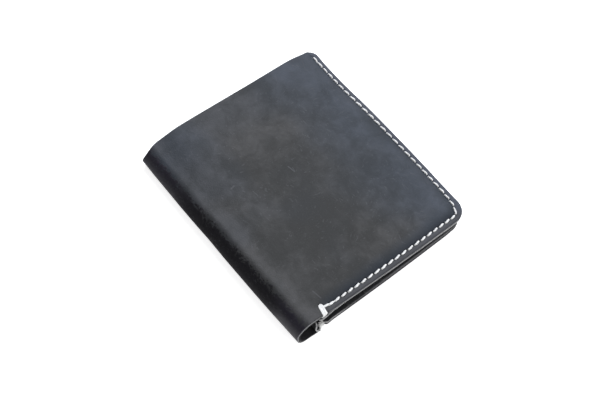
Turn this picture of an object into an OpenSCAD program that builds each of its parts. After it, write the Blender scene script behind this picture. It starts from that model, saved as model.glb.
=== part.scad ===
// Bifold leather wallet, lying closed on its back cover.
// Each half is a cover, a note divider and three stepped card pockets, sewn along two edges.
// The fold is a row of hinged strips, so the one outer leather can bend from closed to flat.
// X runs from the fold to the open edge, Y along the fold to the note mouth, Z up.

/* [Overall size] */
// Length of the wallet along its fold
wallet_h = 100; // [90:1:130]
// Width of the closed wallet, from the outside of the fold to the open edge
wallet_w = 96; // [90:1:120]
// Thickness of the closed wallet at its fold
fold_t = 12; // [9:0.2:14]
// Radius of the corners at the open edge
corner_r = 7; // [5:0.5:10]
// Gap between the closed halves at the open edge
rest_gap = 0.6; // [0.5:0.1:1.5]

/* [Leather] */
// Thickness of the outer leather
cover_t = 1.4; // [1:0.1:2]
// Thickness of the divider in each half
divider_t = 0.6; // [0.4:0.1:0.9]
// Thickness of one card pocket
pocket_t = 0.5; // [0.3:0.1:0.7]

/* [Fold] */
// How far the strips of the fold stand past the sewn bottom edge
fold_overhang = 0.7; // [0:0.1:1.5]
// Play between two strips of the fold
hinge_gap = 0.1; // [0.04:0.02:0.2]

/* [Inside] */
// Distance from the fold's tangent line to the edge of the divider
divider_setback = 5; // [3:0.5:6]
// Distance from the fold's tangent line to the mouth of the first card pocket
first_mouth = 22; // [16:1:30]
// Step from one pocket mouth to the next
pocket_step = 9; // [6:0.5:11]
// How far the divider and the pockets stop short of the cover's top edge
top_drop = 2; // [1:0.5:6]

/* [Seam] */
// Distance from the edge of the leather to the seam
seam_inset = 2.1; // [1.8:0.1:2.6]
// Distance from one stitch to the next, before the stitches are spread evenly
stitch_pitch = 3.7; // [3.4:0.1:5]
// Length of one stitch
stitch_l = 2.9; // [2:0.1:3.1]
// Width of the thread where it lies on the leather
thread_w = 0.85; // [0.5:0.05:0.95]
// Slant of each stitch to the seam, in degrees
stitch_slant = 7; // [0:1:10]
// How much the seam cuts its corner
corner_cut = 3.4; // [3.2:0.1:4]
// Depth of the groove that the outer stitches lie in
groove_d = 0.4; // [0.4:0.05:0.6]
// Width of that groove
groove_w = 1.5; // [1.4:0.1:1.8]
// Thickness of an outer stitch
outer_thread_t = 0.35; // [0.2:0.05:0.4]
// Thickness of an inner stitch, pressed flat on the pockets
inner_thread_t = 0.2; // [0.1:0.05:0.24]

/* [Bartack] */
// Distance from the fold's tangent line to the middle of the bartack
tack_place = 7.6; // [6:0.2:12]
// Width of the bartack
tack_w = 2.3; // [1.5:0.1:3]
// Length of the bartack up from the bottom edge
tack_l = 5.2; // [4:0.2:7]
// Thickness of the bartack's thread
tack_t = 0.35; // [0.2:0.05:0.4]
// Gap between the bartack and the start of the seam
tack_gap = 1.2; // [0.4:0.1:2]

/* [Hidden] */
$fn = 96;

pocket_count = 3;
strip_count = 5;

leather_colour = [0.24, 0.26, 0.28];
fold_colour = [0.18, 0.18, 0.20];
divider_colour = [0.17, 0.17, 0.18];
pocket_colour = [0.21, 0.21, 0.23];
thread_colour = [0.93, 0.93, 0.90];

// The fold is a tube cut open: its radius, its axis, and the length of a half beyond it
fold_r = fold_t / 2;
fold_x = fold_r;
half_l = wallet_w - fold_x;

// The front half slopes down to meet the back half at the open edge
half_t = cover_t + divider_t + pocket_count * pocket_t;
slope_arm = fold_r - half_t;
slope_drop = half_t + rest_gap - fold_r;
tilt = acos(slope_drop / norm([slope_arm, half_l])) - atan2(half_l, slope_arm);

// Each strip takes an equal share of the turn from the back half to the front half
turn = 180 + tilt;
strip_angle = turn / strip_count;
gap_angle = hinge_gap / fold_r * 180 / PI;

// Middle of the whole part, seen from above
front_edge_x = fold_x + fold_r * sin(tilt) + half_l * cos(tilt);
mid_x = max(wallet_w, front_edge_x) / 2;
mid_y = (wallet_h - fold_overhang) / 2;

// The seam starts at the bartack, follows the bottom edge, cuts the corner and climbs the open edge
seam_x = half_l - seam_inset;
seam_start = tack_place + tack_w / 2 + tack_gap;
seam_corner_x = seam_x - corner_cut;
seam_corner_y = seam_inset + corner_cut;
seam_end = wallet_h - top_drop;
bottom_count = round((seam_corner_x - seam_start) / stitch_pitch);
bottom_pitch = (seam_corner_x - seam_start) / bottom_count;
open_count = round((seam_end - seam_corner_y) / stitch_pitch);
open_pitch = (seam_end - seam_corner_y) / open_count;
over = cover_t;

// Places of the stitches: distance from the fold, height along it, and angle
bottom_stitches = [for (i = [0:bottom_count - 1])
    [seam_start + (i + 0.5) * bottom_pitch, seam_inset, stitch_slant]];
corner_stitch = [[seam_x - corner_cut / 2, seam_inset + corner_cut / 2, 45 + stitch_slant]];
open_stitches = [for (i = [0:open_count - 1])
    [seam_x, seam_corner_y + (i + 0.5) * open_pitch, 90 + stitch_slant]];
seam_stitches = concat(bottom_stitches, corner_stitch, open_stitches);

// The seam that closes the tops of the pockets goes through the pockets and the divider only
pocket_seam_y = seam_end - seam_inset;
pocket_seam_l = seam_x - stitch_pitch - first_mouth;
pocket_seam_count = round(pocket_seam_l / stitch_pitch);
pocket_stitches = [for (i = [0:pocket_seam_count - 1])
    [first_mouth + (i + 0.5) * pocket_seam_l / pocket_seam_count, pocket_seam_y, stitch_slant]];

// Distance from the fold's tangent line to the mouth of a pocket, counted from 1
function mouth_x(number) = first_mouth + (number - 1) * pocket_step;

// Height of the leather under a stitch: it rests on the highest layer that it touches
function layers_under(x) = len([for (n = [1:pocket_count]) if (mouth_x(n) < x + stitch_l / 2) n]);
function inner_height(x) = cover_t + divider_t + layers_under(x) * pocket_t;

// Axis of a hinge of the fold, from 0 at the back half to the last at the front half
function hinge_point(number) = [
    fold_x - fold_r * sin(number * strip_angle) - mid_x,
    0,
    fold_r - fold_r * cos(number * strip_angle)
];

echo(tilt = tilt, strip_angle = strip_angle, mid = [mid_x, mid_y]);
for (n = [0:strip_count]) echo(hinge = n, point = hinge_point(n));
echo(open_t = 2 * half_t + rest_gap, bottom_count = bottom_count, open_count = open_count);

// A half is drawn flat, with its outer face at zero and its tangent line at X zero
module in_half(side) {
    if (side == "back")
        translate([fold_x - mid_x, -mid_y, 0])
            children();
    else
        translate([fold_x + fold_r * sin(tilt) - mid_x, -mid_y, fold_r + fold_r * cos(tilt)])
            rotate([0, tilt, 0])
                mirror([0, 0, 1])
                    children();
}

// Outline of a layer: the cover's own outline, from a start to a top
module layer_outline(start, top) {
    intersection() {
        union() {
            square([half_l - corner_r, wallet_h]);
            translate([0, corner_r])
                square([half_l, wallet_h - 2 * corner_r]);
            for (y = [corner_r, wallet_h - corner_r])
                translate([half_l - corner_r, y])
                    circle(corner_r);
        }
        translate([start, 0])
            square([half_l, top]);
    }
}

// The groove of the outer stitches, as a flat shape
module groove_outline() {
    translate([seam_start, seam_inset - groove_w / 2])
        square([seam_corner_x - seam_start, groove_w]);
    translate([seam_x - groove_w / 2, seam_corner_y])
        square([groove_w, seam_end - seam_corner_y]);
    translate([seam_corner_x, seam_inset])
        rotate(45)
            translate([0, -groove_w / 2])
                square([corner_cut * sqrt(2), groove_w]);
    for (p = [[seam_corner_x, seam_inset], [seam_x, seam_corner_y]])
        translate(p)
            circle(d = groove_w);
}

// The outer leather of one half, with the seam's groove and the bartack's bed in its outer face
module cover(side) {
    color(leather_colour)
        in_half(side)
            difference() {
                linear_extrude(cover_t)
                    layer_outline(hinge_gap / 2, wallet_h);
                translate([0, 0, -over])
                    linear_extrude(over + groove_d)
                        groove_outline();
                translate([tack_place - tack_w / 2, -over, -over])
                    cube([tack_w, over + tack_l, over + groove_d]);
            }
}

module divider(side) {
    color(divider_colour)
        in_half(side)
            translate([0, 0, cover_t])
                linear_extrude(divider_t)
                    layer_outline(divider_setback, wallet_h - top_drop);
}

module pocket(side, number) {
    color(pocket_colour)
        in_half(side)
            translate([0, 0, cover_t + divider_t + (number - 1) * pocket_t])
                linear_extrude(pocket_t)
                    layer_outline(mouth_x(number), wallet_h - top_drop);
}

// One stitch: a bar with round ends
module stitch(thickness) {
    linear_extrude(thickness) {
        square([stitch_l - thread_w, thread_w], center = true);
        for (side = [-1, 1])
            translate([side * (stitch_l - thread_w) / 2, 0])
                circle(d = thread_w);
    }
}

module outer_stitches(side) {
    color(thread_colour)
        in_half(side)
            for (p = seam_stitches)
                translate([p[0], p[1], groove_d - outer_thread_t])
                    rotate(p[2])
                        stitch(outer_thread_t);
}

module inner_stitches(side) {
    color(thread_colour)
        in_half(side)
            for (p = concat(seam_stitches, pocket_stitches))
                translate([p[0], p[1], inner_height(p[0])])
                    rotate(p[2])
                        stitch(inner_thread_t);
}

// The bartack: one band of thread round the bottom edge of the cover and the divider
module bartack(side) {
    sewn_t = cover_t + divider_t;
    color(thread_colour)
        in_half(side)
            translate([tack_place - tack_w / 2, -tack_t, groove_d - tack_t])
                difference() {
                    cube([tack_w, tack_t + tack_l, sewn_t - groove_d + 2 * tack_t]);
                    translate([-over, tack_t, tack_t])
                        cube([tack_w + 2 * over, tack_l + over, sewn_t - groove_d]);
                }
}

// One strip of the fold, counted from 1 at the back half
module spine_strip(number) {
    color(fold_colour)
        translate([fold_x - mid_x, -fold_overhang - mid_y, fold_r])
            rotate([-90, 90 + (number - 1) * strip_angle + gap_angle / 2, 0])
                rotate_extrude(angle = strip_angle - gap_angle)
                    translate([fold_r - cover_t, 0])
                        square([cover_t, wallet_h + fold_overhang]);
}

module back_cover() { cover("back"); }
module back_divider() { divider("back"); }
module back_pocket_1() { pocket("back", 1); }
module back_pocket_2() { pocket("back", 2); }
module back_pocket_3() { pocket("back", 3); }
module back_outer_stitches() { outer_stitches("back"); }
module back_inner_stitches() { inner_stitches("back"); }
module back_bartack() { bartack("back"); }
module spine_strip_1() { spine_strip(1); }
module spine_strip_2() { spine_strip(2); }
module spine_strip_3() { spine_strip(3); }
module spine_strip_4() { spine_strip(4); }
module spine_strip_5() { spine_strip(5); }
module front_cover() { cover("front"); }
module front_divider() { divider("front"); }
module front_pocket_1() { pocket("front", 1); }
module front_pocket_2() { pocket("front", 2); }
module front_pocket_3() { pocket("front", 3); }
module front_outer_stitches() { outer_stitches("front"); }
module front_inner_stitches() { inner_stitches("front"); }
module front_bartack() { bartack("front"); }

back_cover();
back_divider();
back_pocket_1();
back_pocket_2();
back_pocket_3();
back_outer_stitches();
back_inner_stitches();
back_bartack();
spine_strip_1();
spine_strip_2();
spine_strip_3();
spine_strip_4();
spine_strip_5();
front_cover();
front_divider();
front_pocket_1();
front_pocket_2();
front_pocket_3();
front_outer_stitches();
front_inner_stitches();
front_bartack();
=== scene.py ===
import math

import bpy
import numpy as np
from mathutils import Matrix, Vector


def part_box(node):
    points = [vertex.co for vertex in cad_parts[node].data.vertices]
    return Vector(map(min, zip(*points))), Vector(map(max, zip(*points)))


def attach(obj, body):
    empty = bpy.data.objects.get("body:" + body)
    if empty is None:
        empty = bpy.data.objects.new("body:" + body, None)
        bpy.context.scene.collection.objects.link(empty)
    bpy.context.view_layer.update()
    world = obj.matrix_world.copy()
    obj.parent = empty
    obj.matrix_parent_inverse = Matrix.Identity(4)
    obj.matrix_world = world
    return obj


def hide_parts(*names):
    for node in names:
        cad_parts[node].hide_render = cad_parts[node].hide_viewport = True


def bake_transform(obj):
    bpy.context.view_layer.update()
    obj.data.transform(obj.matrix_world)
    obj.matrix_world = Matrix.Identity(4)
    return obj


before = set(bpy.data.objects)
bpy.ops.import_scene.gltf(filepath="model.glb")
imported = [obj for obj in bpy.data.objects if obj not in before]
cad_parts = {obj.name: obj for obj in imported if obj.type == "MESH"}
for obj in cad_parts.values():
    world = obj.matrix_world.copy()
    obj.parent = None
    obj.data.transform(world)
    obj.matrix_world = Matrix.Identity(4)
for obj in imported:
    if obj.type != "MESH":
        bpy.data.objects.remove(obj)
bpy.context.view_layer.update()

# Sizes of the wallet in millimetres, as its solids have them
MM = 0.001
wallet_h = 100.0
wallet_w = 96.0
corner_r = 7.0
fold_r = 6.0
rest_gap = 0.6
cover_t = 1.4
divider_t = 0.6
pocket_t = 0.5
pocket_count = 3
strip_count = 5
divider_setback = 5.0
first_mouth = 22.0
pocket_step = 9.0
top_drop = 2.0
note_corner_r = 4.0
stitch_l = 2.7
stitch_gap = 1.05
thread_w = 0.92
tack_low = {"front": 7.25, "back": 7.8}
tack_lean = 0.82
tack_half_w = {"front": 1.15, "back": 1.4}
tack_l = 4.75

# Lengths that follow from them
half_l = wallet_w - fold_r
half_t = cover_t + divider_t + pocket_count * pocket_t
slope_arm = fold_r - half_t
slope_drop = half_t + rest_gap - fold_r
tilt = math.acos(slope_drop / math.hypot(slope_arm, half_l)) - math.atan2(half_l, slope_arm)
turn = math.pi + tilt
arc_l = turn * fold_r
sheet_l = 2 * half_l + arc_l
front_start = half_l + arc_l
to_frame = np.array([
    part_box("back_cover")[1].x / MM - wallet_w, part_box("back_cover")[0].y / MM, 0.0])

# Distances from a cut edge at which the leather's mesh has its rows
sheet_rows = [0, 0.04, 0.1, 0.18, 0.3, 0.45, 0.65, 0.9, 1.15, 1.4, 1.65, 1.88, 2.1, 2.32, 2.55,
              2.85, 3.3, 3.9, 4.8, 6.2, 8.0]
slab_rows = [0, 0.05, 0.13, 0.25, 0.5, 0.9, 1.5, 2.4, 3.6, 5.2, 7.5]
divider_rows = [0, 0.05, 0.13, 0.25, 0.36, 0.5, 0.75, 1.0, 1.25, 1.5, 1.75, 2.0, 2.3, 2.6, 3.0,
                3.6, 4.4, 5.2, 6.2, 7.5]


def smooth(t):
    t = np.clip(t, 0, 1)
    return t * t * (3 - 2 * t)


def undulation(a, b, wavelength, seed):
    """Soft random waves over a surface, about -1 to 1."""
    rng = np.random.default_rng(seed)
    total = np.zeros(np.broadcast(a, b).shape)
    for _ in range(7):
        heading = rng.uniform(0, 2 * math.pi)
        length = wavelength * rng.uniform(0.6, 1.6)
        phase = rng.uniform(0, 2 * math.pi)
        total = total + np.sin(
            (a * math.cos(heading) + b * math.sin(heading)) * 2 * math.pi / length + phase)
    return total / 3.2


# Small departures from the regular shape, in millimetres at places along an edge
spine_draw = ([0, 30, 45, 55, 62, 72, 82, 91, 96, 100],
              [0.12, 0.22, 0.20, 0.35, 0.18, 0.15, 0.35, 0.58, 0.80, 1.00])
open_bow = (
    [0, 9, 18, 26, 33, 40, 50, 60, 66, 72, 78, 86, 92, 96, 100],
    [0, -0.05, 0.12, 0.40, 0.50, 0.58, 0.64, 0.62, 0.48, 0.20, 0.05, 0.10, 0.28, 0.55, 0.60])
note_edge_bow = ([0, 8, 16, 24, 32, 40, 50, 60, 80, 84, 88, 91, 96],
                 [0, 0, 0.15, 0.40, 0.42, 0.35, 0.28, 0.22, 0.20, 0.15, -0.25, -0.60, -0.90])
sewn_edge_bow = ([0, 12, 20, 35, 50, 65, 78, 90, 96], [0, 0, 0.1, 0.28, 0.36, 0.28, 0.12, 0, 0])
lower_edge_out = ([0, 8, 10.6, 12.2, 13.0, 13.5, 16.0, 16.8, 20, 84, 92, 96],
                  [0.85, 1.0, 1.2, 1.15, 0.5, -0.1, -0.1, 0.8, 0.55, 0.4, 0, 0])

# How far the cover and the roll sink at the note end, and how far the roll is drawn in and back
cover_sink = 1.2
roll_sink = 2.0
roll_draw = 2.4
roll_back = 1.4


def settle(p):
    """Moves points of the regular shape to where the soft leather lies.

    The roll is flatter and drawn in at the note end. Its lower side stands out at the sewn end.
    """
    x, y, z = p[..., 0], p[..., 1], p[..., 2]
    note_end = smooth((y - 12) / 88)
    note_edge = smooth((y - 75) / 25)
    sewn_edge = smooth((12 - y) / 12)
    lifted = smooth((z - 1.2) / 9)
    fold_side = 1 - smooth(x / 28)
    sink = note_end * (cover_sink * np.clip(1 - (x - 24) / 72, 0, 1)
                       + roll_sink * smooth((22 - x) / 18))
    draw = roll_draw * note_end + np.interp(y, *spine_draw)
    bow = np.interp(y, *open_bow) * smooth((x - 30) / 55)
    moved = np.array(p, float)
    moved[..., 0] = x + draw * fold_side + bow
    moved[..., 1] = (y + np.interp(x, *note_edge_bow) * note_edge
                     - roll_back * smooth((y - 80) / 20) * (1 - smooth(x / 9))
                     - np.interp(x, *sewn_edge_bow) * sewn_edge
                     - np.interp(x, *lower_edge_out) * sewn_edge * smooth((7.5 - z) / 4.5))
    moved[..., 2] = z - sink * lifted
    return moved


def on_sheet(s, y, depth):
    """Point of the developed leather: s from the back half's open edge to the front half's."""
    s, y, depth = np.broadcast_arrays(np.asarray(s, float), y, depth)
    angle = np.clip((s - half_l) / fold_r, 0, turn)
    straight = np.where(s < half_l, s - half_l, np.where(s > front_start, s - front_start, 0))
    out_x, out_z = -np.sin(angle), -np.cos(angle)
    x = fold_r + (fold_r - depth) * out_x - straight * np.cos(angle)
    z = fold_r + (fold_r - depth) * out_z + straight * np.sin(angle)
    return settle(np.stack([x, y, z], -1))


def sheet_place(side, u):
    """Developed place of a distance from the fold's tangent line."""
    return half_l - u if side == "back" else front_start + u


def rounded_grid(xs, ys, rows, radii):
    """Grid of a rounded rectangle, its outer rows along the edge, and the distances to the edge."""
    n = len(rows) - 1
    reach = rows[-1]
    grid = np.stack(np.meshgrid(xs, ys, indexing="ij"), -1).astype(float)
    nx, ny = len(xs), len(ys)
    ring_x, ring_y = (np.minimum(np.arange(m), np.arange(m)[::-1]) for m in (nx, ny))
    edge = np.interp(np.minimum(ring_x[:, None], ring_y), np.arange(n + 1), rows)
    for corner, radius in enumerate(radii):
        flip_x, flip_y = corner in (1, 2), corner in (2, 3)
        for i in range(n + 1):
            for j in range(n + 1):
                k, m = min(i, j), max(i, j)
                if k == n:
                    continue
                inner_r = max(radius - rows[k], 0)
                bend = math.pi / 4 * inner_r
                start = radius if inner_r else rows[k]
                along = (m - k) / (n - k) * (bend + reach - start)
                if along <= bend and inner_r:
                    a = math.radians(225) + along / inner_r
                    px, py = radius + inner_r * math.cos(a), radius + inner_r * math.sin(a)
                else:
                    px, py = start + along - bend, rows[k]
                if i < j:
                    px, py = py, px
                gi, gj = (nx - 1 - i if flip_x else i), (ny - 1 - j if flip_y else j)
                grid[gi, gj, 0] = xs[-1] - px if flip_x else xs[0] + px
                grid[gi, gj, 1] = ys[-1] - py if flip_y else ys[0] + py
    return grid, edge


def spaced(start, end, step):
    return list(np.linspace(start, end, max(2, round(abs(end - start) / step) + 1)))


def edged(low, high, rows, middle):
    """Places from low to high with the edge rows at both ends and the given places between."""
    inside = [m for m in middle if low + rows[-1] + 1e-6 < m < high - rows[-1] - 1e-6]
    return np.array([low + r for r in rows] + inside + [high - r for r in rows[::-1]])


# Seam of one half: needle holes along the sewn edge, across the corner and up the open edge
sewn_count, open_count = 20, 25
sewn_line = ([10.6, 84.2], [2.35, 2.3])
open_line = ([5.75, 9.3, 15, 70, 86, 92, 96.6], [86.6, 87.3, 87.65, 87.65, 87.78, 87.75, 87.6])
pitch_drift = 0.05


def drifting(start, end, count):
    """Places of needle holes, a little closer to each other at both ends of the run."""
    t = np.arange(count + 1) / count
    return start + (end - start) * (t - pitch_drift * np.sin(2 * math.pi * t) / (2 * math.pi))


sewn_u = drifting(*sewn_line[0], sewn_count)
open_y = drifting(open_line[0][0], open_line[0][-1], open_count)
needle_holes = np.array([(u, np.interp(u, *sewn_line)) for u in sewn_u]
                        + [(np.interp(y, *open_line), y) for y in open_y])
seam_inset = sewn_line[1][0]
seam_x = 87.65
corner_out = (0.82, -0.57)


def stitch_slant(u, y):
    """How much a stitch leans from the seam: less towards the note end."""
    return math.radians(10) if u < 84 else math.radians(9 - 10 * float(smooth((y - 70) / 20)))


def line_distance(u, y, line):
    """Distance of points to a line of straight pieces."""
    best = np.full(np.broadcast(u, y).shape, 1e9)
    for a, b in zip(line[:-1], line[1:]):
        d = b - a
        t = np.clip(((u - a[0]) * d[0] + (y - a[1]) * d[1]) / (d @ d), 0, 1)
        best = np.minimum(best, np.hypot(u - a[0] - t * d[0], y - a[1] - t * d[1]))
    return best


def round_edge(edge, radius):
    """How far a surface drops towards its cut edge."""
    inside = np.clip(radius - edge, 0, radius)
    return radius - np.sqrt(radius ** 2 - inside ** 2)


def add_object(name, data):
    """Puts a mesh, lamp or camera into the scene."""
    made = bpy.data.objects.new(name, data)
    bpy.context.scene.collection.objects.link(made)
    return made


class Leather:
    """One flat piece of leather as a closed grid with an outer face, an inner face and a rim."""

    def __init__(self, outer, inner, flat, marks):
        self.outer, self.inner, self.flat, self.marks = outer, inner, flat, marks

    def part(self, first, last):
        cut = slice(first, last + 1)
        marks = {name: value[cut] for name, value in self.marks.items()}
        return Leather(self.outer[cut], self.inner[cut], self.flat[cut], marks)

    def faces(self):
        nx, ny = self.outer.shape[:2]
        index = np.arange(nx * ny).reshape(nx, ny)
        under = index + nx * ny

        def quads(a, b, c, d):
            return np.stack([a.ravel(), b.ravel(), c.ravel(), d.ravel()], -1)

        top = quads(index[:-1, :-1], index[1:, :-1], index[1:, 1:], index[:-1, 1:])
        low = quads(under[:-1, :-1], under[:-1, 1:], under[1:, 1:], under[1:, :-1])
        rim = np.concatenate([
            quads(index[:-1, 0], under[:-1, 0], under[1:, 0], index[1:, 0]),
            quads(index[:-1, -1], index[1:, -1], under[1:, -1], under[:-1, -1]),
            quads(index[0, :-1], index[0, 1:], under[0, 1:], under[0, :-1]),
            quads(index[-1, :-1], under[-1, :-1], under[-1, 1:], index[-1, 1:])])
        finish = np.concatenate([
            np.zeros(len(top), int), np.full(len(rim), 1), np.full(len(low), 2)])
        return np.concatenate([top, rim, low]), finish

    def points(self):
        return np.concatenate([self.outer.reshape(-1, 3), self.inner.reshape(-1, 3)])

    def normals(self):
        p = self.points()
        quads, _ = self.faces()
        cross = np.cross(p[quads[:, 2]] - p[quads[:, 0]], p[quads[:, 3]] - p[quads[:, 1]])
        total = np.zeros_like(p)
        for k in range(4):
            np.add.at(total, quads[:, k], cross)
        total /= np.maximum(np.linalg.norm(total, axis=1, keepdims=True), 1e-12)
        return total.reshape(2, *self.outer.shape)

    def build(self, name, finishes, normals=None):
        p = (self.points() + to_frame) * MM
        quads, finish = self.faces()
        mesh = bpy.data.meshes.new(name)
        mesh.from_pydata(p.tolist(), [], quads.tolist())
        mesh.polygons.foreach_set("material_index", finish)
        mesh.polygons.foreach_set("use_smooth", np.ones(len(quads), bool))
        for material in finishes:
            mesh.materials.append(material)
        flat = np.concatenate([self.flat.reshape(-1, 2)] * 2) / 100
        uv = mesh.uv_layers.new(name="leather")
        uv.data.foreach_set("uv", flat[quads.ravel()].astype(np.float32).ravel())
        marks = {label: np.tile(value.ravel(), 2) for label, value in self.marks.items()}
        marks["across"] = np.repeat([0.0, 1.0], self.outer.size // 3)
        for label, value in marks.items():
            layer = mesh.attributes.new(label, "FLOAT", "POINT")
            layer.data.foreach_set("value", value.astype(np.float32))
        mesh.update()
        if normals is not None:
            mesh.normals_split_custom_set_from_vertices(normals.reshape(-1, 3).tolist())
        return add_object(name, mesh)


# Materials
def new_material(name):
    material = bpy.data.materials.new(name)
    material.use_nodes = True
    tree = material.node_tree
    tree.nodes.clear()
    output = tree.nodes.new("ShaderNodeOutputMaterial")
    shader = tree.nodes.new("ShaderNodeBsdfPrincipled")
    tree.links.new(shader.outputs[0], output.inputs[0])
    return material, tree, shader


def connect(tree, made, inputs):
    """Links a socket, or sets a value, at each given input of a node."""
    for name, value in inputs.items():
        if isinstance(value, bpy.types.NodeSocket):
            tree.links.new(value, made.inputs[name])
        else:
            made.inputs[name].default_value = value


def node(tree, kind, inputs=(), **settings):
    made = tree.nodes.new(kind)
    for name, value in settings.items():
        setattr(made, name, value)
    connect(tree, made, dict(inputs))
    return made


def maths(tree, operation, a, b=0.0, clamp=False):
    return node(tree, "ShaderNodeMath", {0: a, 1: b}, operation=operation,
                use_clamp=clamp).outputs[0]


def times(tree, a, b, clamp=False):
    return maths(tree, "MULTIPLY", a, b, clamp)


def plus(tree, a, b, clamp=False):
    return maths(tree, "ADD", a, b, clamp)


def minus(tree, a, b):
    return maths(tree, "SUBTRACT", a, b)


def most(tree, a, b):
    return maths(tree, "MAXIMUM", a, b)


def vectors(tree, operation, a, b):
    """Vector arithmetic. A product or a distance comes out as a number."""
    second = "Scale" if operation == "SCALE" else 1
    made = node(tree, "ShaderNodeVectorMath", {0: a, second: b}, operation=operation)
    return made.outputs["Value" if operation in ("DOT_PRODUCT", "DISTANCE") else "Vector"]


def ramp(tree, value, low, high, out_low=0.0, out_high=1.0):
    return node(tree, "ShaderNodeMapRange", {
        "Value": value, "From Min": low, "From Max": high, "To Min": out_low,
        "To Max": out_high}, interpolation_type="SMOOTHSTEP").outputs[0]


def mix(tree, share, a, b):
    """Colour a, changed by its share to colour b."""
    a, b = ((*c, 1.0) if isinstance(c, tuple) else c for c in (a, b))
    return node(tree, "ShaderNodeMix", {0: share, 6: a, 7: b}, data_type="RGBA").outputs[2]


def noise(tree, place, scale, detail, roughness, stretch=None):
    if stretch:
        place = node(tree, "ShaderNodeMapping", {"Vector": place, "Scale": stretch}).outputs[0]
    return node(tree, "ShaderNodeTexNoise", {
        "Vector": place, "Scale": scale, "Detail": detail, "Roughness": roughness}).outputs[0]


def pores(tree, place, scale):
    made = node(tree, "ShaderNodeTexVoronoi", {"Vector": place, "Scale": scale})
    return made.outputs["Distance"]


def bumps(tree, strength, distance, height):
    return node(tree, "ShaderNodeBump", {
        "Strength": strength, "Distance": distance, "Height": height}).outputs[0]


def mark(tree, name):
    return node(tree, "ShaderNodeAttribute", attribute_name=name).outputs["Fac"]


def leather_place(tree):
    return node(tree, "ShaderNodeUVMap", uv_map="leather").outputs[0]


def object_place(tree):
    return node(tree, "ShaderNodeTexCoord").outputs["Object"]


def scratch(tree, place, start, end, width):
    """Share of a faint scratch between two places of the developed leather, in millimetres."""
    a, b = np.array(start) / 100, np.array(end) / 100
    way = b - a
    offset = vectors(tree, "SUBTRACT", place, (*a, 0))
    share = vectors(tree, "DOT_PRODUCT", offset, (*(way / (way @ way)), 0))
    share = plus(tree, share, 0.0, clamp=True)
    gap = vectors(tree, "DISTANCE", offset, vectors(tree, "SCALE", (*way, 0), share))
    return ramp(tree, gap, width / 300, width / 100, 1.0, 0.0)


# The longest scratches on the front cover: start, end and width in millimetres, and strength
scratches = (
    ((150.1, 59.6), (150.6, 56.4), 0.42, 0.9), ((151.2, 58.2), (150.9, 56.6), 0.3, 0.6),
    ((123.4, 64.8), (125.3, 65.2), 0.5, 0.8), ((119.0, 10.4), (119.6, 6.4), 0.4, 0.6),
    ((130.2, 58.9), (130.5, 56.2), 0.3, 0.5), ((126.6, 61.5), (127.2, 60.6), 0.45, 0.5))


def scuffs(tree, place, bent, patch):
    """Share of small scuffs, nicks and grazes, and of the longest scratches."""
    scuff = ramp(tree, noise(tree, bent, 26.0, 2.0, 0.5, stretch=(1.0, 5.0, 1.0)), 0.70, 0.78)
    scuff = times(tree, scuff, ramp(tree, patch, 0.5, 0.6))
    nick = ramp(tree, noise(tree, bent, 62.0, 2.0, 0.5, stretch=(2.0, 1.0, 1.0)), 0.60, 0.72)
    graze = ramp(tree, noise(tree, bent, 48.0, 2.0, 0.5, stretch=(1.0, 2.6, 1.0)), 0.61, 0.73)
    worked = noise(tree, place, 5.0, 2.0, 0.5)
    nick = times(tree, nick, ramp(tree, worked, 0.46, 0.60, 0.0, 0.50))
    graze = times(tree, graze, ramp(tree, worked, 0.54, 0.42, 0.0, 0.42))
    scuff = most(tree, scuff, most(tree, nick, graze))
    for start, end, width, strength in scratches:
        made = times(tree, scratch(tree, place, start, end, width), strength)
        scuff = most(tree, scuff, made)
    return scuff


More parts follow.
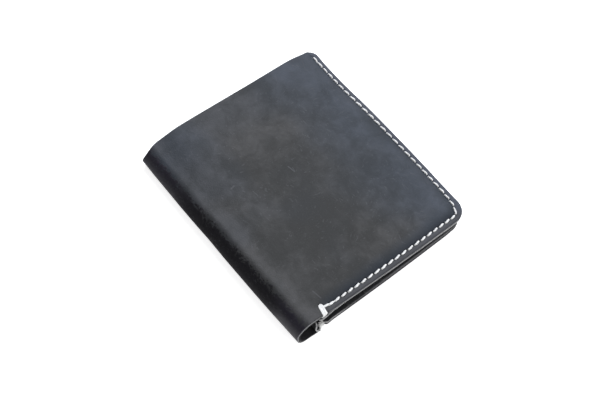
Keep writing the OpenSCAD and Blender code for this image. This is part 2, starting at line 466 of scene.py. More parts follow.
def waxed_leather():
    """Dark pull-up leather: mottled wax, fine grain, rubbed edges, a dark band by the seam of
    darkened leather with painted shade, painted bluish sheen and painted shade on the fold.
    """
    material, tree, shader = new_material("waxed_pull_up_leather")
    place = leather_place(tree)
    warp = node(tree, "ShaderNodeTexNoise", {"Vector": place, "Scale": 9.0, "Detail": 2.0})
    bent = vectors(tree, "ADD", place, vectors(tree, "SCALE", warp.outputs["Color"], 0.08))
    cloud = noise(tree, bent, 3.2, 3.0, 0.55)
    patch = noise(tree, bent, 15.0, 5.0, 0.6)
    fibre = noise(tree, place, 120.0, 4.0, 0.7)
    hue = noise(tree, place, 1.9, 2.0, 0.5)
    tone = plus(tree, times(tree, cloud, 0.5), times(tree, patch, 0.5))
    tone = plus(tree, tone, times(tree, mark(tree, "wax"), 0.12))
    # Blue tone: random in places, and bluer and lighter towards the open edge and the note end as
    # painted bluish sheen
    bluish_tone_and_sheen = plus(tree, mark(tree, "bluish_tone_and_sheen"), ramp(tree, hue, 0.40, 0.62, -0.1, 0.35), clamp=True)
    dark = mix(tree, bluish_tone_and_sheen, (0.0130, 0.0137, 0.0135), (0.0138, 0.0205, 0.0300))
    light = mix(tree, bluish_tone_and_sheen, (0.0425, 0.0420, 0.0435), (0.0350, 0.0455, 0.0670))
    colour = mix(tree, ramp(tree, tone, 0.34, 0.72), dark, light)
    colour = mix(tree, ramp(tree, fibre, 0.52, 0.78, 0, 0.22), colour, (0.060, 0.062, 0.072))

    # Dark band inside the seam: darkened leather, and painted shade where the puffed leather slopes
    # down to the seam
    band = times(tree, mark(tree, "band"), ramp(tree, patch, 0.35, 0.65, 0.7, 1.15), clamp=True)
    outside = ramp(tree, mark(tree, "seam_gap"), -0.7, -0.1, 1.0, 0.0)
    # The margin outside the seam is bluer and lighter on the open side: painted bluish sheen there
    margin = mix(tree, mark(tree, "open_side"), (0.043, 0.044, 0.050), (0.050, 0.058, 0.082))
    colour = mix(tree, band, colour, (0.009, 0.014, 0.022))
    colour = mix(tree, times(tree, outside, 0.8), colour, margin)

    fold, toward_fold_ends = mark(tree, "roll"), mark(tree, "toward_fold_ends")
    crinkle = noise(tree, bent, 46.0, 6.0, 0.72, stretch=(1.0, 0.55, 1.0))
    fine_crinkle = noise(tree, bent, 110.0, 5.0, 0.7, stretch=(1.0, 0.5, 1.0))
    blotch = plus(tree, times(tree, crinkle, 2.0), times(tree, fine_crinkle, 3.2))
    blotch = minus(tree, blotch, 2.6)
    roll = times(tree, ramp(tree, fold, 0.0, 0.25),
                 ramp(tree, plus(tree, fold, blotch), 0.15, 0.75))
    # Darker oiled leather on the fold, with the shade of its shoulder painted in: near black in its
    # middle, lighter towards both ends of the fold
    roll_oil_and_shade = mix(tree, toward_fold_ends, (0.0030, 0.0025, 0.0045), (0.0180, 0.0160, 0.0240))
    colour = mix(tree, roll, colour, roll_oil_and_shade)
    rubbed = times(tree, ramp(tree, crinkle, 0.53, 0.68), roll)
    rubbed = times(tree, rubbed, ramp(tree, fine_crinkle, 0.45, 0.65, 0.2, 1.0))
    rubbed = times(tree, rubbed, ramp(tree, toward_fold_ends, 0.0, 1.0, 0.15, 0.9))
    colour = mix(tree, rubbed, colour, (0.035, 0.030, 0.045))

    scuff = scuffs(tree, place, bent, patch)
    colour = mix(tree, times(tree, scuff, 0.55), colour, (0.075, 0.076, 0.086))
    worn = plus(tree, mark(tree, "edge_gap"), times(tree, fibre, 0.4))
    worn = times(tree, ramp(tree, worn, 0.22, 0.50, 1.0, 0.0), mark(tree, "rubbed_rim"))
    colour = mix(tree, times(tree, worn, 0.9), colour, (0.20, 0.20, 0.21))
    # Near-black painted shade in the needle holes
    hole = ramp(tree, mark(tree, "hole"), 0.2, 0.7)
    colour = mix(tree, hole, colour, (0.002, 0.002, 0.002))

    grain = plus(tree, times(tree, pores(tree, place, 150.0), 0.4), times(tree, fibre, 0.8))
    grain = plus(tree, grain, times(tree, crinkle, times(tree, roll, 1.6)))
    rough = plus(tree, ramp(tree, tone, 0.35, 0.65, 0.55, 0.47), times(tree, band, 0.15))
    matt = times(tree, roll, ramp(tree, toward_fold_ends, 0.0, 0.8, 0.35, 0.0))
    connect(tree, shader, {
        "Base Color": colour, "Normal": bumps(tree, 0.30, 0.0002, grain),
        "Roughness": plus(tree, rough, matt, clamp=True), "Specular IOR Level": 0.28})
    return material


def burnished_edge():
    """Cut edge of the outer leather: dark and rubbed smooth, with raw fibres in the fold's ends."""
    material, tree, shader = new_material("burnished_cut_edge")
    place = object_place(tree)
    fleck = noise(tree, place, 1500.0, 3.0, 0.6)
    soft = noise(tree, place, 420.0, 3.0, 0.6)
    across = mark(tree, "across")
    raw = mark(tree, "rubbed_rim")
    colour = mix(tree, ramp(tree, fleck, 0.4, 0.7), (0.022, 0.021, 0.027), (0.036, 0.035, 0.042))
    dark = mix(tree, ramp(tree, fleck, 0.45, 0.7), (0.006, 0.006, 0.006), (0.024, 0.023, 0.024))
    colour = mix(tree, raw, colour, dark)
    rim = times(tree, ramp(tree, across, 0.12, 0.36, 1.0, 0.0), mark(tree, "pale_rim"))
    colour = mix(tree, times(tree, rim, 0.9), colour, (0.36, 0.36, 0.36))
    lower = times(tree, ramp(tree, across, 0.45, 0.75), mark(tree, "raw_low"))
    colour = mix(tree, times(tree, lower, 0.7), colour, (0.26, 0.26, 0.265))
    fibres = times(tree, ramp(tree, across, 0.62, 0.95), ramp(tree, soft, 0.5, 0.62))
    colour = mix(tree, times(tree, fibres, raw), colour, (0.20, 0.20, 0.185))
    connect(tree, shader, {
        "Base Color": colour, "Normal": bumps(tree, 0.5, 0.0002, fleck), "Roughness": 0.7,
        "Specular IOR Level": 0.2})
    return material


def edge_leather(name, dark, light, rough):
    """Cut edge: packed fibres along the thickness, with painted shade where the raw share is low,
    deep in the back half's gap.
    """
    material, tree, shader = new_material(name)
    place = object_place(tree)
    fibre = noise(tree, place, 1200.0, 4.0, 0.7)
    fleck = noise(tree, place, 4800.0, 2.0, 0.6)
    tone = plus(tree, times(tree, fibre, 0.6), times(tree, fleck, 0.4))
    colour = mix(tree, ramp(tree, tone, 0.35, 0.65), dark, light)
    # Dark where the raw share is low: painted shade on the back half's edges, deep in the gap
    # between the halves
    colour = mix(tree, mark(tree, "raw"), (0.02, 0.02, 0.024), colour)
    connect(tree, shader, {
        "Base Color": colour, "Normal": bumps(tree, 0.5, 0.0002, tone), "Roughness": rough})
    return material


def flesh_side():
    """Brushed inner side of the outer leather."""
    material, tree, shader = new_material("brushed_flesh_side")
    place = leather_place(tree)
    nap = noise(tree, place, 260.0, 3.0, 0.7)
    cloud = noise(tree, place, 9.0, 4.0, 0.6)
    colour = mix(tree, ramp(tree, cloud, 0.35, 0.65), (0.018, 0.018, 0.020), (0.034, 0.034, 0.038))
    colour = mix(tree, ramp(tree, nap, 0.55, 0.75, 0, 0.3), colour, (0.07, 0.068, 0.066))
    connect(tree, shader, {
        "Base Color": colour, "Normal": bumps(tree, 0.6, 0.0003, nap), "Roughness": 0.85,
        "Specular IOR Level": 0.25})
    return material


def thin_leather(name, dark, light, rubbed, border):
    """Smooth thin leather of the dividers and card pockets, with a rubbed border at its edge."""
    material, tree, shader = new_material(name)
    place = leather_place(tree)
    cloud = noise(tree, place, 7.0, 4.0, 0.6)
    fibre = noise(tree, place, 160.0, 3.0, 0.6)
    colour = mix(tree, ramp(tree, cloud, 0.35, 0.65), dark, light)
    # Its pale rubbed border fades where the raw share is low: painted shade on the back half, deep
    # in the gap between the halves
    worn = times(tree, ramp(tree, mark(tree, "edge_gap"), *border, 1.0, 0.0), mark(tree, "raw"))
    height = plus(tree, times(tree, pores(tree, place, 190.0), 0.6), fibre)
    connect(tree, shader, {
        "Base Color": mix(tree, worn, colour, rubbed), "Normal": bumps(tree, 0.2, 0.0002, height),
        "Roughness": 0.52})
    return material


def waxed_thread():
    """White thread, a little soiled in places."""
    material, tree, shader = new_material("waxed_white_thread")
    place = object_place(tree)
    shade = noise(tree, place, 900.0, 3.0, 0.6)
    soil = noise(tree, place, 160.0, 2.0, 0.5)
    colour = mix(tree, ramp(tree, shade, 0.30, 0.5), (0.88, 0.88, 0.86), (0.95, 0.95, 0.94))
    colour = mix(tree, ramp(tree, soil, 0.64, 0.8, 0, 0.3), colour, (0.72, 0.71, 0.60))
    connect(tree, shader, {
        "Base Color": colour, "Normal": bumps(tree, 0.4, 0.0001, shade), "Roughness": 0.6})
    return material


leather = waxed_leather()
cut_edge = burnished_edge()
raw_edge = edge_leather("raw_thin_edge", (0.34, 0.34, 0.345), (0.62, 0.62, 0.62), 0.8)
flesh = flesh_side()
divider_leather = thin_leather("thin_divider_leather", (0.014, 0.0145, 0.016),
                               (0.026, 0.027, 0.030), (0.42, 0.42, 0.42), (0.27, 0.45))
pocket_leather = thin_leather("thin_pocket_leather", (0.016, 0.0165, 0.018),
                              (0.030, 0.031, 0.034), (0.06, 0.061, 0.066), (0.1, 0.6))
pocket_edge = edge_leather("dyed_pocket_edge", (0.012, 0.012, 0.014), (0.04, 0.04, 0.044), 0.7)
thread = waxed_thread()


# Relief of the outer leather in millimetres
puff_h = 0.40
wave_h = 0.09
groove_d = 0.22
back_groove_more = 0.30
hole_d = 0.18
tack_press = {"front": 0.34, "back": 0.44}
outer_rim_r = 0.48
note_rim_less = 0.22
inner_rim_r = 0.3

# Strength of the dark band inside the seam, beside the sewn and the open edge: darkened leather
# with painted shade where the leather slopes down to the seam
sewn_band = 0.84
open_band = 0.34

# Mesh rows from one needle hole to the next, and their spacing between the fold and the seam
hole_steps = 6
plain_step = 0.62

# Pale and deep spots of the wax: strength, middle and half width across, then along the fold
wax_spots = ((0.5, 72, 14, 12, 9), (1.5, 10, 6, 76, 8), (-0.9, 38, 30, 32, 28),
             (-0.8, 68, 10, 72, 10), (-0.8, 56, 7, 19, 6))


def between_holes(holes):
    return [place for low, high in zip(holes[:-1], holes[1:])
            for place in np.linspace(low, high, hole_steps + 1)[:-1]]


def tack_share(side, u, y):
    """Where a bartack presses the leather."""
    middle = tack_low[side] + tack_lean * y / tack_l
    half_w = tack_half_w[side] - 0.2 * y / tack_l
    return smooth((half_w + 0.3 - abs(u - middle)) / 0.4) * smooth((tack_l + 0.3 - y) / 0.6)


def wax_share(u, y):
    """Where the wax is paler: in its spots, along the fold's crest and at two of the edges."""
    crest = np.exp(-((u - 2.5) / 3.5) ** 2) * (1 - smooth((y - 62) / 25))
    spots = sum(strength * np.exp(-((u - mid_u) / half_u) ** 2 - ((y - mid_y) / half_y) ** 2)
                for strength, mid_u, half_u, mid_y, half_y in wax_spots)
    return crest + spots + 0.12 * smooth((u - 62) / 20) + 0.35 * smooth((y - 78) / 20)


def blend_ends(part):
    """Where a piece of the fold starts and ends to bend, square to its slanted edges."""
    begin = np.concatenate([part.outer[0], part.inner[0]])
    finish = np.concatenate([part.outer[-1], part.inner[-1]])
    along = sum(edge[-1] - edge[0] for edge in (part.outer[0], part.outer[-1]))
    along /= np.linalg.norm(along)
    across = finish.mean(0) - begin.mean(0)
    across -= (across @ along) * along
    across /= np.linalg.norm(across)
    base = begin.mean(0)
    base = base - (base @ across) * across
    return [((base + reach * across + to_frame) * MM).tolist()
            for reach in ((begin @ across).max(), (finish @ across).min())]


# The outer leather: one sheet from the back cover round the fold to the front cover
strip_l = arc_l / strip_count
cuts = [half_l + (k - 0.5) * strip_l for k in range(strip_count + 2)]
fold_places = spaced(cuts[0], cuts[-1], strip_l / 10)
u_places = spaced(cuts[-1] - front_start, sewn_u[0], plain_step)[1:-1] + between_holes(sewn_u)
clear = sheet_rows[-1] + 0.25
u_places = [u for u in u_places if u < half_l - clear]
y_places = [y for y in between_holes(open_y) if clear < y < wallet_h - clear]
sheet_s = edged(0, sheet_l, sheet_rows, (
    [half_l - u for u in u_places[::-1]] + fold_places + [front_start + u for u in u_places]))
sheet_y = edged(0, wallet_h, sheet_rows, y_places)
flat, edge_gap = rounded_grid(sheet_s, sheet_y, sheet_rows,
                              [corner_r, corner_r, note_corner_r, corner_r])

# Where each point lies: s and y on the sheet, u from the fold, and inside or outside the seam
s, y = flat[..., 0], flat[..., 1]
u = np.where(s < half_l, half_l - s, np.where(s > front_start, s - front_start,
                                              -np.minimum(s - half_l, front_start - s)))
front_share = smooth((s - half_l) / arc_l * 2 - 0.6)
sewn_share = smooth((u - sewn_u[0] + 4.5) / 5)
seam_gap = line_distance(u, y, needle_holes)
outer_side = np.interp(y, *open_line)
past_corner = (u - sewn_line[0][1]) * corner_out[0] + (y - sewn_line[1][1]) * corner_out[1]
past_seam = np.where(y < open_line[0][0], np.maximum(past_corner, seam_inset - y), u - outer_side)
outside = smooth(past_seam / 0.5 + 0.5) * sewn_share
from_open, from_sewn = outer_side - u, y - sewn_line[1][0]
open_share = smooth((from_sewn - from_open) / 8 + 0.5)

# Its relief
# Spots by the needle holes: sunk into the relief, and painted near black as shade by the leather's
# material
gap_spots = needle_holes + [-0.1, 0.2]
near = (seam_gap < 1.6) & (u > 0)
hole = np.zeros_like(s)
hole[near] = np.exp(-(np.hypot(u[near][:, None] - gap_spots[:, 0],
                               y[near][:, None] - gap_spots[:, 1]).min(1) / 0.45) ** 2)
puff = puff_h * (1 - np.exp(-np.maximum(seam_gap - 0.6, 0) / 3.0)) * (1 - outside) * front_share
groove = (groove_d + back_groove_more * (1 - front_share)) * np.exp(-(seam_gap / 0.62) ** 2)
waves = undulation(s, y, 40, 11) * wave_h * front_share * smooth((seam_gap - 1) / 8)
tack_bed = np.where(s > half_l + arc_l / 2, tack_press["front"] * tack_share("front", u, y),
                     tack_press["back"] * tack_share("back", u, y))
rise = puff + waves
rim_r = outer_rim_r - note_rim_less * smooth((y - 90) / 6)
outer = on_sheet(s, y, round_edge(edge_gap, rim_r) + groove + hole_d * hole + tack_bed - rise)
inner = on_sheet(s, y, cover_t - round_edge(edge_gap, inner_rim_r) - rise * smooth(edge_gap / 3))

# Shares of its looks, which the materials read
# Dark band inside the seam: darkened leather with painted shade of the slope down to the seam
band = sewn_share * (1 - outside) * (
    sewn_band * (1 - open_share) * (1 - smooth((seam_gap - 0.4) / 4.8))
    + open_band * open_share * (1 - smooth((seam_gap - 0.3) / 3.2)))
wax = front_share * wax_share(u, y) + (1 - front_share) * 0.7 * wax_share(u, wallet_h - y)
# Bluer and lighter towards the open edge, the note end and the sewn corner: painted bluish sheen
bluish_tone_and_sheen = (0.85 * smooth((u - 45) / 45) + 0.4 * smooth((y - 74) / 20)
        + 0.4 * smooth((9 - y) / 5) * smooth((u - 5) / 8))
rubbed_rim = np.where(y < 50, 1 - smooth((u - 2) / 4), 0.55 - 0.15 * smooth((u - 8) / 30))
sheet = Leather(outer, inner, flat, {
    "edge_gap": edge_gap,
    "seam_gap": seam_gap * np.where(outside > 0.5, -1, 1) + (1 - sewn_share) * 8,
    "hole": hole * (1 - 0.65 * open_share),
    "roll": smooth((s - half_l) / 4) * smooth((front_start - 0.6 - s) / 4.5),
    "rubbed_rim": rubbed_rim,
    "pale_rim": rubbed_rim * smooth(((s - half_l) / arc_l - 0.25) / 0.3),
    "band": band, "open_side": open_share, "wax": wax, "bluish_tone_and_sheen": bluish_tone_and_sheen,
    # Share towards both ends of the fold, where its painted shade is lighter and its crinkles more
    # rubbed
    "toward_fold_ends": smooth((22 - y) / 18) + smooth((y - 62) / 30),
    "raw_low": front_share * sewn_share * smooth((50 - y) / 10)})
sheet_normals = sheet.normals()
columns = [0, *(int(np.argmin(abs(sheet_s - c))) for c in cuts), len(sheet_s) - 1]
names = ["back_cover_leather"] + [f"fold_leather_{k}" for k in range(1, strip_count + 2)] + [
    "front_cover_leather"]
for number, name in enumerate(names):
    first, last = columns[number], columns[number + 1]
    part = sheet.part(first, last)
    piece = part.build(name, [leather, cut_edge, flesh], sheet_normals[:, first:last + 1])
    if number == 0:
        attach(piece, "back_half")
        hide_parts("back_cover")
    elif number == len(names) - 1:
        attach(piece, "front_half")
        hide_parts("front_cover")
    else:
        start, end = blend_ends(part)
        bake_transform(piece)
        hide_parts(f"spine_strip_{min(number, strip_count)}")


def slab(name, side, start, top, low, high, finishes, relief=None, bend=None, foot=0.0,
         rows=slab_rows):
    """A thin flat piece of one half, from a distance beyond the fold to the open edge."""
    def places(first, last):
        return edged(first, last, rows, spaced(first + rows[-1], last - rows[-1], 1.6))

    free_r = 1.2
    radii = ([corner_r, free_r, free_r, note_corner_r] if side == "back"
             else [free_r, corner_r, note_corner_r, free_r])
    ends = sorted((sheet_place(side, start), sheet_place(side, half_l)))
    plan, gap = rounded_grid(places(*ends), places(foot, top), rows, radii)
    a, b = plan[..., 0], plan[..., 1]
    dist = np.where(a < half_l, half_l - a, a - front_start)
    sunk = relief(dist) if relief else 0
    faces = []
    for depth in (low + round_edge(gap, 0.12), high - round_edge(gap, 0.2) - sunk):
        if bend:
            bent_dist, bent_b, bent_depth = bend(side, dist, b, low, depth)
            away = bent_dist if side == "front" else -bent_dist
            faces.append(on_sheet(sheet_place(side, 0) + away, bent_b, bent_depth))
        else:
            faces.append(on_sheet(a, b, depth))
    # The back half's divider and pocket edges darken away from the fold: painted shade deep in the
    # gap between the halves
    raw = np.ones_like(gap) if side == "front" else 1 - 0.9 * smooth((dist - 12) / 14)
    piece = Leather(*faces, plan, {"edge_gap": gap, "raw": raw}).build(name, finishes)
    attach(piece, f"{side}_half")
    return piece


def mouth_crease(start):
    """A creased line along the mouth of a pocket."""
    def relief(dist):
        return 0.09 * np.exp(-((dist - start - 2.2) / 0.28) ** 2)
    return relief


# Droop of the front divider's free end, and curl of the back divider in the roll's end, with
# headings at lengths from where it leaves the cover
droop_d = 1.4
curl_start = 6.2
curl_l = 7.4
curl_lengths = np.linspace(0, curl_l, 75)
curl_headings = np.radians(np.interp(
    curl_lengths, [0, 1.2, 2.3, 4.3, 5.4, curl_l], [0, 24, 63, 63, 117, 119]))
curl_step = curl_lengths[1]
curl_reach = np.concatenate([[0], np.cumsum(np.cos(curl_headings[:-1]) * curl_step)])
curl_climb = np.concatenate([[0], np.cumsum(np.sin(curl_headings[:-1]) * curl_step)])


def divider_shape(side, dist, b, low, depth):
    """The divider stands out of the sewn edge; its free end droops in front and curls up behind."""
    near_end = 1 - smooth((dist - divider_setback) / 9)
    stand_out = 0.06 + 0.55 * near_end if side == "front" else -0.15 + 0.5 * near_end
    moved_b = b - stand_out * smooth((3 - b) / 3)
    if side == "front":
        free = np.maximum(smooth((2.1 - b) / 2), smooth((6.6 - dist) / 1.4) * smooth((14 - b) / 10))
        droop = droop_d * np.clip((20 - dist) / 15, 0, 1) ** 1.5
        return dist, moved_b, depth + droop * free
    grip = smooth((9.5 - b) / 6)
    tongue = curl_start - curl_l - divider_setback
    longer = dist + tongue * grip * smooth((14 - dist) / 9)
    along = np.maximum(curl_start - longer, 0)
    angle = np.interp(along, curl_lengths, curl_headings) * grip
    reach = along + (np.interp(along, curl_lengths, curl_reach) - along) * grip
    climb = np.interp(along, curl_lengths, curl_climb) * grip
    over = depth - low
    bent_dist = np.where(along > 0, curl_start - reach + over * np.sin(angle), longer)
    bent_depth = np.where(along > 0, low + climb + over * np.cos(angle), depth)
    return bent_dist, moved_b, bent_depth


for side in ("back", "front"):
    base = cover_t
    piece = slab(f"{side}_note_divider", side, divider_setback, wallet_h - top_drop, base,
                 base + divider_t, [divider_leather, raw_edge, divider_leather],
                 bend=divider_shape, rows=divider_rows)
    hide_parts(f"{side}_divider")
    for number in range(pocket_count):
        low = base + divider_t + number * pocket_t
        mouth = first_mouth + number * pocket_step
        piece = slab(f"{side}_card_pocket_{number + 1}", side, mouth, wallet_h - top_drop, low,
                     low + pocket_t, [pocket_leather, pocket_edge, pocket_leather],
                     relief=mouth_crease(mouth), foot=0.25)
        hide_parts(f"{side}_pocket_{number + 1}")


# Stitches: one tree lays a twisted length of thread on every point
def stitch_tree():
    tree = bpy.data.node_groups.new("saddle_stitches", "GeometryNodeTree")
    face = tree.interface
    face.new_socket("Geometry", in_out="INPUT", socket_type="NodeSocketGeometry")
    for name, kind in (
            ("Stitch length", "Float"), ("Thread width", "Float"), ("Arch height", "Float"),
            ("Bow", "Float"), ("Hole depth", "Float"), ("Twist", "Float"),
            ("Size spread", "Float"), ("Seed", "Int"), ("Thread", "Material")):
        face.new_socket(name, in_out="INPUT", socket_type=f"NodeSocket{kind}")
    face.new_socket("Geometry", in_out="OUTPUT", socket_type="NodeSocketGeometry")
    given = tree.nodes.new("NodeGroupInput").outputs

    def stored(name):
        return node(tree, "GeometryNodeInputNamedAttribute", {"Name": name},
                    data_type="FLOAT_VECTOR").outputs[0]

    line = node(tree, "GeometryNodeCurvePrimitiveLine", {
        "Start": (-MM, 0, 0), "End": (MM, 0, 0)}).outputs[0]
    path = node(tree, "GeometryNodeResampleCurve", {"Curve": line, "Count": 18}).outputs[0]
    share = node(tree, "GeometryNodeSplineParameter").outputs["Factor"]
    from_middle = minus(tree, times(tree, share, 2.0), 1.0)
    dive = maths(tree, "POWER", maths(tree, "ABSOLUTE", from_middle), 8.0)
    drop = times(tree, dive, plus(tree, given["Arch height"], given["Hole depth"]))
    aside = minus(tree, times(tree, from_middle, from_middle), 0.5)
    place = node(tree, "ShaderNodeCombineXYZ", {
        "X": times(tree, from_middle, times(tree, given["Stitch length"], 0.5)),
        "Y": times(tree, aside, given["Bow"]),
        "Z": minus(tree, given["Arch height"], drop)}).outputs[0]
    arched = node(tree, "GeometryNodeSetPosition", {
        "Geometry": path, "Position": place}).outputs[0]
    slim = node(tree, "GeometryNodeSetCurveRadius", {
        "Curve": arched, "Radius": minus(tree, 1.0, times(tree, dive, 0.12))}).outputs[0]
    turned = node(tree, "GeometryNodeSetCurveTilt", {
        "Curve": slim, "Tilt": times(tree, share, given["Twist"])}).outputs[0]
    ring = node(tree, "GeometryNodeCurvePrimitiveCircle", {
        "Resolution": 10, "Radius": times(tree, given["Thread width"], 0.5)}).outputs[0]
    plies = node(tree, "GeometryNodeTransform", {
        "Geometry": ring, "Scale": (1.0, 0.86, 1.0)}).outputs[0]
    strand = node(tree, "GeometryNodeCurveToMesh", {
        "Curve": turned, "Profile Curve": plies, "Fill Caps": True}).outputs[0]
    rotation = node(tree, "FunctionNodeEulerToRotation", {0: stored("heading")}).outputs[0]
    spread = node(tree, "FunctionNodeRandomValue", {
        2: minus(tree, 1.0, given["Size spread"]), 3: plus(tree, 1.0, given["Size spread"]),
        "Seed": given["Seed"]}, data_type="FLOAT").outputs[1]
    laid = node(tree, "GeometryNodeInstanceOnPoints", {
        "Points": given["Geometry"], "Instance": strand, "Rotation": rotation,
        "Scale": vectors(tree, "SCALE", stored("size"), spread)}).outputs[0]
    real = node(tree, "GeometryNodeRealizeInstances", {0: laid}).outputs[0]
    shaded = node(tree, "GeometryNodeSetShadeSmooth", {0: real}).outputs[0]
    done = node(tree, "GeometryNodeSetMaterial", {
        "Geometry": shaded, "Material": given["Thread"]}).outputs[0]
    node(tree, "NodeGroupOutput", {0: done})
    return tree


def surface_turn(side, u, y, depth, heading, inward=False):
    """Rotation of a stitch whose length lies at a heading on one face of a half."""
    step = 0.05
    here = on_sheet(sheet_place(side, u), y, depth)
    along_u = on_sheet(sheet_place(side, u + step), y, depth) - here
    along_y = on_sheet(sheet_place(side, u), y + step, depth) - here
    along = along_u * math.cos(heading) + along_y * math.sin(heading)
    across = -along_u * math.sin(heading) + along_y * math.cos(heading)
    up = np.cross(along, across)
    out = on_sheet(sheet_place(side, u), y, depth - step) - here
    if (up @ out < 0) != inward:
        across, up = -across, -up
    turn_to = Matrix([Vector(along).normalized(), Vector(np.cross(up, along)).normalized(),
                      Vector(up).normalized()]).transposed()
    return here, turn_to.to_euler()


def inner_height(u):
    covered = sum(first_mouth + n * pocket_step < u + 1.5 for n in range(pocket_count))
    return cover_t + divider_t + covered * pocket_t


def runs_of(holes):
    """Middle, heading and length of the stitch between each pair of neighbouring holes."""
    found = []
    for a, b in zip(holes[:-1], holes[1:]):
        way = b - a
        found.append(((a + b) / 2, math.atan2(way[1], way[0]),
                      min(np.hypot(*way) - stitch_gap, stitch_l * 1.06) / stitch_l))
    return found


def lay_stitches(name, side, spots, tree, sizes):
    """Runs the stitch tree on a cloud of points and keeps the result as one mesh."""
    cloud = bpy.data.meshes.new(name + "_points")
    cloud.from_pydata([((p + to_frame) * MM).tolist() for p, _, _ in spots], [], [])
    for label, column in (("heading", 1), ("size", 2)):
        layer = cloud.attributes.new(label, "FLOAT_VECTOR", "POINT")
        layer.data.foreach_set("vector", [c for spot in spots for c in spot[column]])
    holder = add_object(name + "_points", cloud)
    modifier = holder.modifiers.new("stitches", "NODES")
    modifier.node_group = tree
    for item in tree.interface.items_tree:
        if item.in_out == "INPUT" and item.name in sizes:
            modifier[item.identifier] = sizes[item.name]
    bpy.context.view_layer.update()
    ready = holder.evaluated_get(bpy.context.evaluated_depsgraph_get())
    mesh = bpy.data.meshes.new_from_object(ready)
    mesh.name = name
    bpy.data.objects.remove(holder)
    bpy.data.meshes.remove(cloud)
    piece = add_object(name, mesh)
    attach(piece, f"{side}_half")
    return piece


stitches = stitch_tree()
outer_sizes = {"Stitch length": stitch_l * MM, "Thread width": thread_w * MM,
               "Arch height": 0.10 * MM, "Bow": 0.10 * MM, "Hole depth": 0.62 * MM, "Twist": 6.3,
               "Size spread": 0.04, "Seed": 3, "Thread": thread}
inner_sizes = dict(outer_sizes, **{"Arch height": 0.08 * MM, "Hole depth": 0.25 * MM, "Seed": 8})
pocket_seam_y = wallet_h - top_drop - seam_inset
pocket_holes = np.array([(x, pocket_seam_y) for x in np.linspace(first_mouth, seam_x - 2.5, 18)])
seam_runs = runs_of(needle_holes)
outer_depth = {"front": 0.12, "back": 0.72}
first_bulk = 1.12
inner_bulk = 0.65
for side in ("back", "front"):
    spots = []
    for number, (middle, heading, length) in enumerate(seam_runs):
        lean = 0.0 if number == 0 else stitch_slant(*middle)
        here, turned = surface_turn(side, *middle, outer_depth[side], heading + lean)
        bulk = first_bulk if number == 0 and side == "front" else 1.0
        spots.append((here, turned, (length, bulk, bulk)))
    if side == "front":
        # Short back stitches near both ends of the seam
        for number, spot, length in ((-1, -2, 0.75), (1, 1, 0.6)):
            heading = seam_runs[number][1] - 0.05
            here, turned = surface_turn(side, *needle_holes[spot], 0.26, heading)
            spots.append((here, turned, (length, 0.6, 0.7)))
    piece = lay_stitches(f"{side}_outer_seam", side, spots, stitches, outer_sizes)
    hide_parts(f"{side}_outer_stitches")
    spots = []
    for middle, heading, length in seam_runs + runs_of(pocket_holes):
        middle = middle + ([0, 0.35] if middle[1] < 4 else [0, 0])
        here, turned = surface_turn(side, *middle, inner_height(middle[0]),
                                    heading + stitch_slant(*middle), inward=True)
        spots.append((here, turned, (length, inner_bulk, inner_bulk)))
    piece = lay_stitches(f"{side}_inner_seam", side, spots, stitches, inner_sizes)
    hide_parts(f"{side}_inner_stitches")


# Bartack: turns of thread over the edge, and in front a short thread from them to the seam
tack_turns = {"front": 6, "back": 7}
tack_r = 0.24
tack_heights = ([0, 0.3, 0.7, 1], [4.2, 4.7, 4.75, 4.3])
tack_link = ((8.4, 3.1, 0.3), (8.8, 2.95, 0.05), (9.5, 2.75, 0.0), (10.67, 2.69, 0.05),
             (11.3, 2.68, 0.3))
tack_link_r = 0.47
def tube(path, radius, sides=8):
    """Vertices and faces of a thread along a path."""
    path = np.array(path, float)
    ahead = np.gradient(path, axis=0)
    ahead /= np.linalg.norm(ahead, axis=1, keepdims=True)
    side_way = np.cross(ahead, [0.31, 0.17, 0.93])
    side_way /= np.linalg.norm(side_way, axis=1, keepdims=True)
    up = np.cross(side_way, ahead)
    angles = np.arange(sides) * 2 * math.pi / sides
    rings = path[:, None] + radius * (
        side_way[:, None] * np.cos(angles)[None, :, None]
        + up[:, None] * np.sin(angles)[None, :, None])
    faces = []
    for k in range(len(path) - 1):
        for a in range(sides):
            b = (a + 1) % sides
            faces.append([k * sides + a, k * sides + b, (k + 1) * sides + b, (k + 1) * sides + a])
    last = (len(path) - 1) * sides
    faces.append(list(range(sides))[::-1])
    faces.append([last + a for a in range(sides)])
    return rings.reshape(-1, 3), faces


def smooth_path(points):
    """A path through points with rounded corners."""
    points = np.array(points, float)
    for _ in range(2):
        out = [points[0]]
        for a, b in zip(points[:-1], points[1:]):
            out += [a * 0.75 + b * 0.25, a * 0.25 + b * 0.75]
        out.append(points[-1])
        points = np.array(out)
    return points


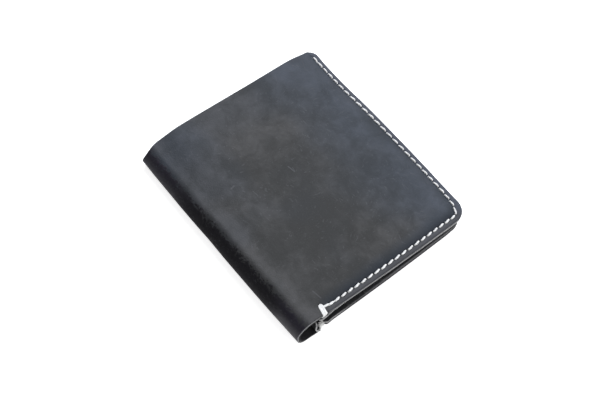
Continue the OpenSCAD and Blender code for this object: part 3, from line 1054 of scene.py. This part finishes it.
def bartack(side):
    """Turns of thread over the sewn edge, leaning towards the fold at the edge."""
    verts, faces = [], []
    sewn_t = cover_t + divider_t
    top_d = 0.02 if side == "front" else tack_r + 0.02
    over, round_in = (-0.02, 0.22) if side == "front" else (-0.2, -0.22)
    inner_l = 4.0 if side == "front" else 1.3

    def add(places, radius):
        path = [on_sheet(sheet_place(side, u), y, depth) for u, y, depth in places]
        ring, quads = tube(smooth_path(path), radius)
        base = sum(len(v) for v in verts)
        verts.append(ring)
        faces.extend([[base + i for i in q] for q in quads])

    for k in range(tack_turns[side]):
        share = k / (tack_turns[side] - 1)
        across = (2 * share - 1) * (tack_half_w[side] - tack_r * 0.6)
        low_u = tack_low[side] + across
        top_u = tack_low[side] + tack_lean + across * 0.82
        height = np.interp(share, *tack_heights) + 0.05 * math.sin(k * 2.4)
        add([(top_u, height, 0.7), (top_u, height - 0.05, top_d),
             ((top_u + low_u) / 2, height / 2, top_d), (low_u, 0.45, top_d + 0.02),
             (low_u, over, 0.2), (low_u, over + round_in, 0.7),
             (low_u, over + round_in, sewn_t - 0.2), (low_u, 0.2, sewn_t + 0.12),
             (low_u + 0.1, inner_l / 2, sewn_t + 0.12), (low_u + 0.2, inner_l, sewn_t + 0.1),
             (low_u + 0.2, inner_l + 0.1, sewn_t - 0.5)], tack_r)
    if side == "front":
        add(tack_link, tack_link_r)
    mesh = bpy.data.meshes.new(f"{side}_edge_bartack")
    p = (np.concatenate(verts) + to_frame) * MM
    mesh.from_pydata(p.tolist(), [], faces)
    mesh.polygons.foreach_set("use_smooth", np.ones(len(faces), bool))
    mesh.materials.append(thread)
    mesh.update()
    piece = add_object(mesh.name, mesh)
    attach(piece, f"{side}_half")
    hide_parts(f"{side}_bartack")


for side in ("back", "front"):
    bartack(side)


# Floor, room, lamps and camera
def ray_kinds(tree):
    """Rays that were mirrored or let through, and the camera's rays. The others give light."""
    path = node(tree, "ShaderNodeLightPath").outputs
    return most(tree, path["Is Glossy Ray"], path["Is Transmission Ray"]), path["Is Camera Ray"]


floor_half = 8.0
floor_mesh = bpy.data.meshes.new("floor")
floor_mesh.from_pydata([(-floor_half, -floor_half, 0), (floor_half, -floor_half, 0),
                        (floor_half, floor_half, 0), (-floor_half, floor_half, 0)],
                       [], [(0, 1, 2, 3)])
floor = add_object("floor", floor_mesh)
floor_material, tree, shader = new_material("white_sheet_floor")
mirrored, seen = ray_kinds(tree)
connect(tree, shader, {
    "Base Color": (0.82, 0.82, 0.82, 1), "Roughness": 0.9, "Specular IOR Level": 0.0,
    "Emission Color": (1, 1, 1, 1),
    "Emission Strength": times(tree, most(tree, mirrored, seen), 0.80)})
floor_mesh.materials.append(floor_material)

world = bpy.data.worlds.new("studio")
bpy.context.scene.world = world
world.use_nodes = True
tree = world.node_tree
tree.nodes.clear()
mirrored, seen = ray_kinds(tree)
ray_way = node(tree, "ShaderNodeTexCoord").outputs["Generated"]
ray_rise = node(tree, "ShaderNodeSeparateXYZ", {0: ray_way}).outputs["Z"]
behind = vectors(tree, "DOT_PRODUCT", ray_way, (0.852, 0.523, 0))
backdrop = times(tree, ramp(tree, ray_rise, 0.45, 0.65, 1.0, 0.0), ramp(tree, behind, 0.0, 0.35))
backdrop = most(tree, times(tree, mirrored, backdrop), seen)
room = node(tree, "ShaderNodeBackground", {
    "Color": (1, 1, 1, 1), "Strength": ramp(tree, behind, -0.8, 0.8, 0.04, 0.26)})
white = node(tree, "ShaderNodeBackground", {"Color": (1, 1, 1, 1), "Strength": 1.0})
both = node(tree, "ShaderNodeMixShader", {
    0: backdrop, 1: room.outputs[0], 2: white.outputs[0]})
node(tree, "ShaderNodeOutputWorld", {0: both.outputs[0]})


def lamp(name, direction, distance, width, height, power, colour=(1, 1, 1)):
    """A soft square lamp that looks at the middle of the wallet."""
    light = bpy.data.lights.new(name, "AREA")
    light.shape = "RECTANGLE"
    light.size, light.size_y = width, height
    light.energy = power
    light.color = colour
    made = add_object(name, light)
    way = Vector(direction).normalized()
    made.location = way * distance
    made.rotation_mode = "QUATERNION"
    made.rotation_quaternion = way.to_track_quat("Z", "Y")


lamp("back_softbox", (0.50, 0.32, 0.80), 1.4, 1.3, 1.3, 21.0, (0.955, 0.985, 1.05))
lamp("front_fill", (-0.10, -0.85, 0.45), 1.2, 0.8, 0.8, 7.5)

azimuth, elevation, camera_roll = (math.radians(a) for a in (-58.46, 57.02, 19.63))
camera_distance = 663.25
camera_aim = (46.23, 48.26, 0)
camera_data = bpy.data.cameras.new("camera")
camera_data.lens = 97.17
camera_data.sensor_width = 36.0
camera_data.clip_start, camera_data.clip_end = 0.01, 50.0
camera = add_object("camera", camera_data)
back = Vector((math.sin(azimuth) * math.cos(elevation),
               -math.cos(azimuth) * math.cos(elevation), math.sin(elevation)))
right = Vector((math.cos(azimuth), math.sin(azimuth), 0))
up = back.cross(right)
turned_right = right * math.cos(camera_roll) + up * math.sin(camera_roll)
turned_up = -right * math.sin(camera_roll) + up * math.cos(camera_roll)
aim = Vector(camera_aim) + Vector(to_frame)
camera.matrix_world = Matrix.Translation((aim + back * camera_distance) * MM) @ Matrix(
    (turned_right, turned_up, back)).transposed().to_4x4()
bpy.context.scene.camera = camera
bpy.context.scene.view_settings.view_transform = "Standard"
